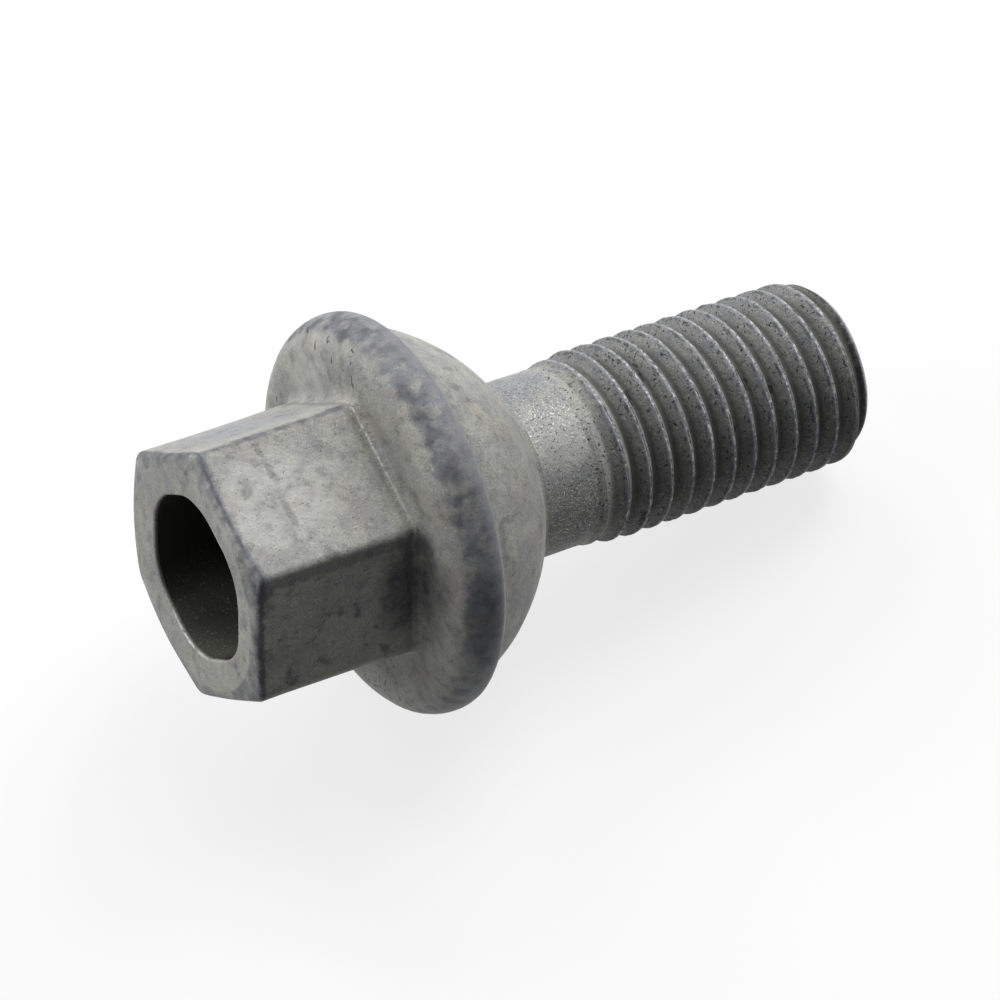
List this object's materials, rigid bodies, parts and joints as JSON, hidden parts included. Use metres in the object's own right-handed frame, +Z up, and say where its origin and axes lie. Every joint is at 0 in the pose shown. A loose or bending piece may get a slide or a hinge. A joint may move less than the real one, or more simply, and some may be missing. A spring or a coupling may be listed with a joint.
{
  "type": "wheel bolt",
  "caption": "Forged steel wheel bolt with a hollow hexagon head, a round-edged flange, a ball seat, a plain neck and a metric thread.",
  "frame": {"origin": "centre of the box round the lying bolt, on the surface that it lies on", "axes": "+Z up; the bolt's own axis lies in the XZ plane, with the head towards -X and the tip towards +X, about 12 degrees lower"},
  "size_m": [0.0456, 0.0244, 0.0241],
  "materials": {
    "coating": "matte"
  },
  "bodies": {
    "root": {"wheel_bolt": "coating"}
  },
  "joints": []
}
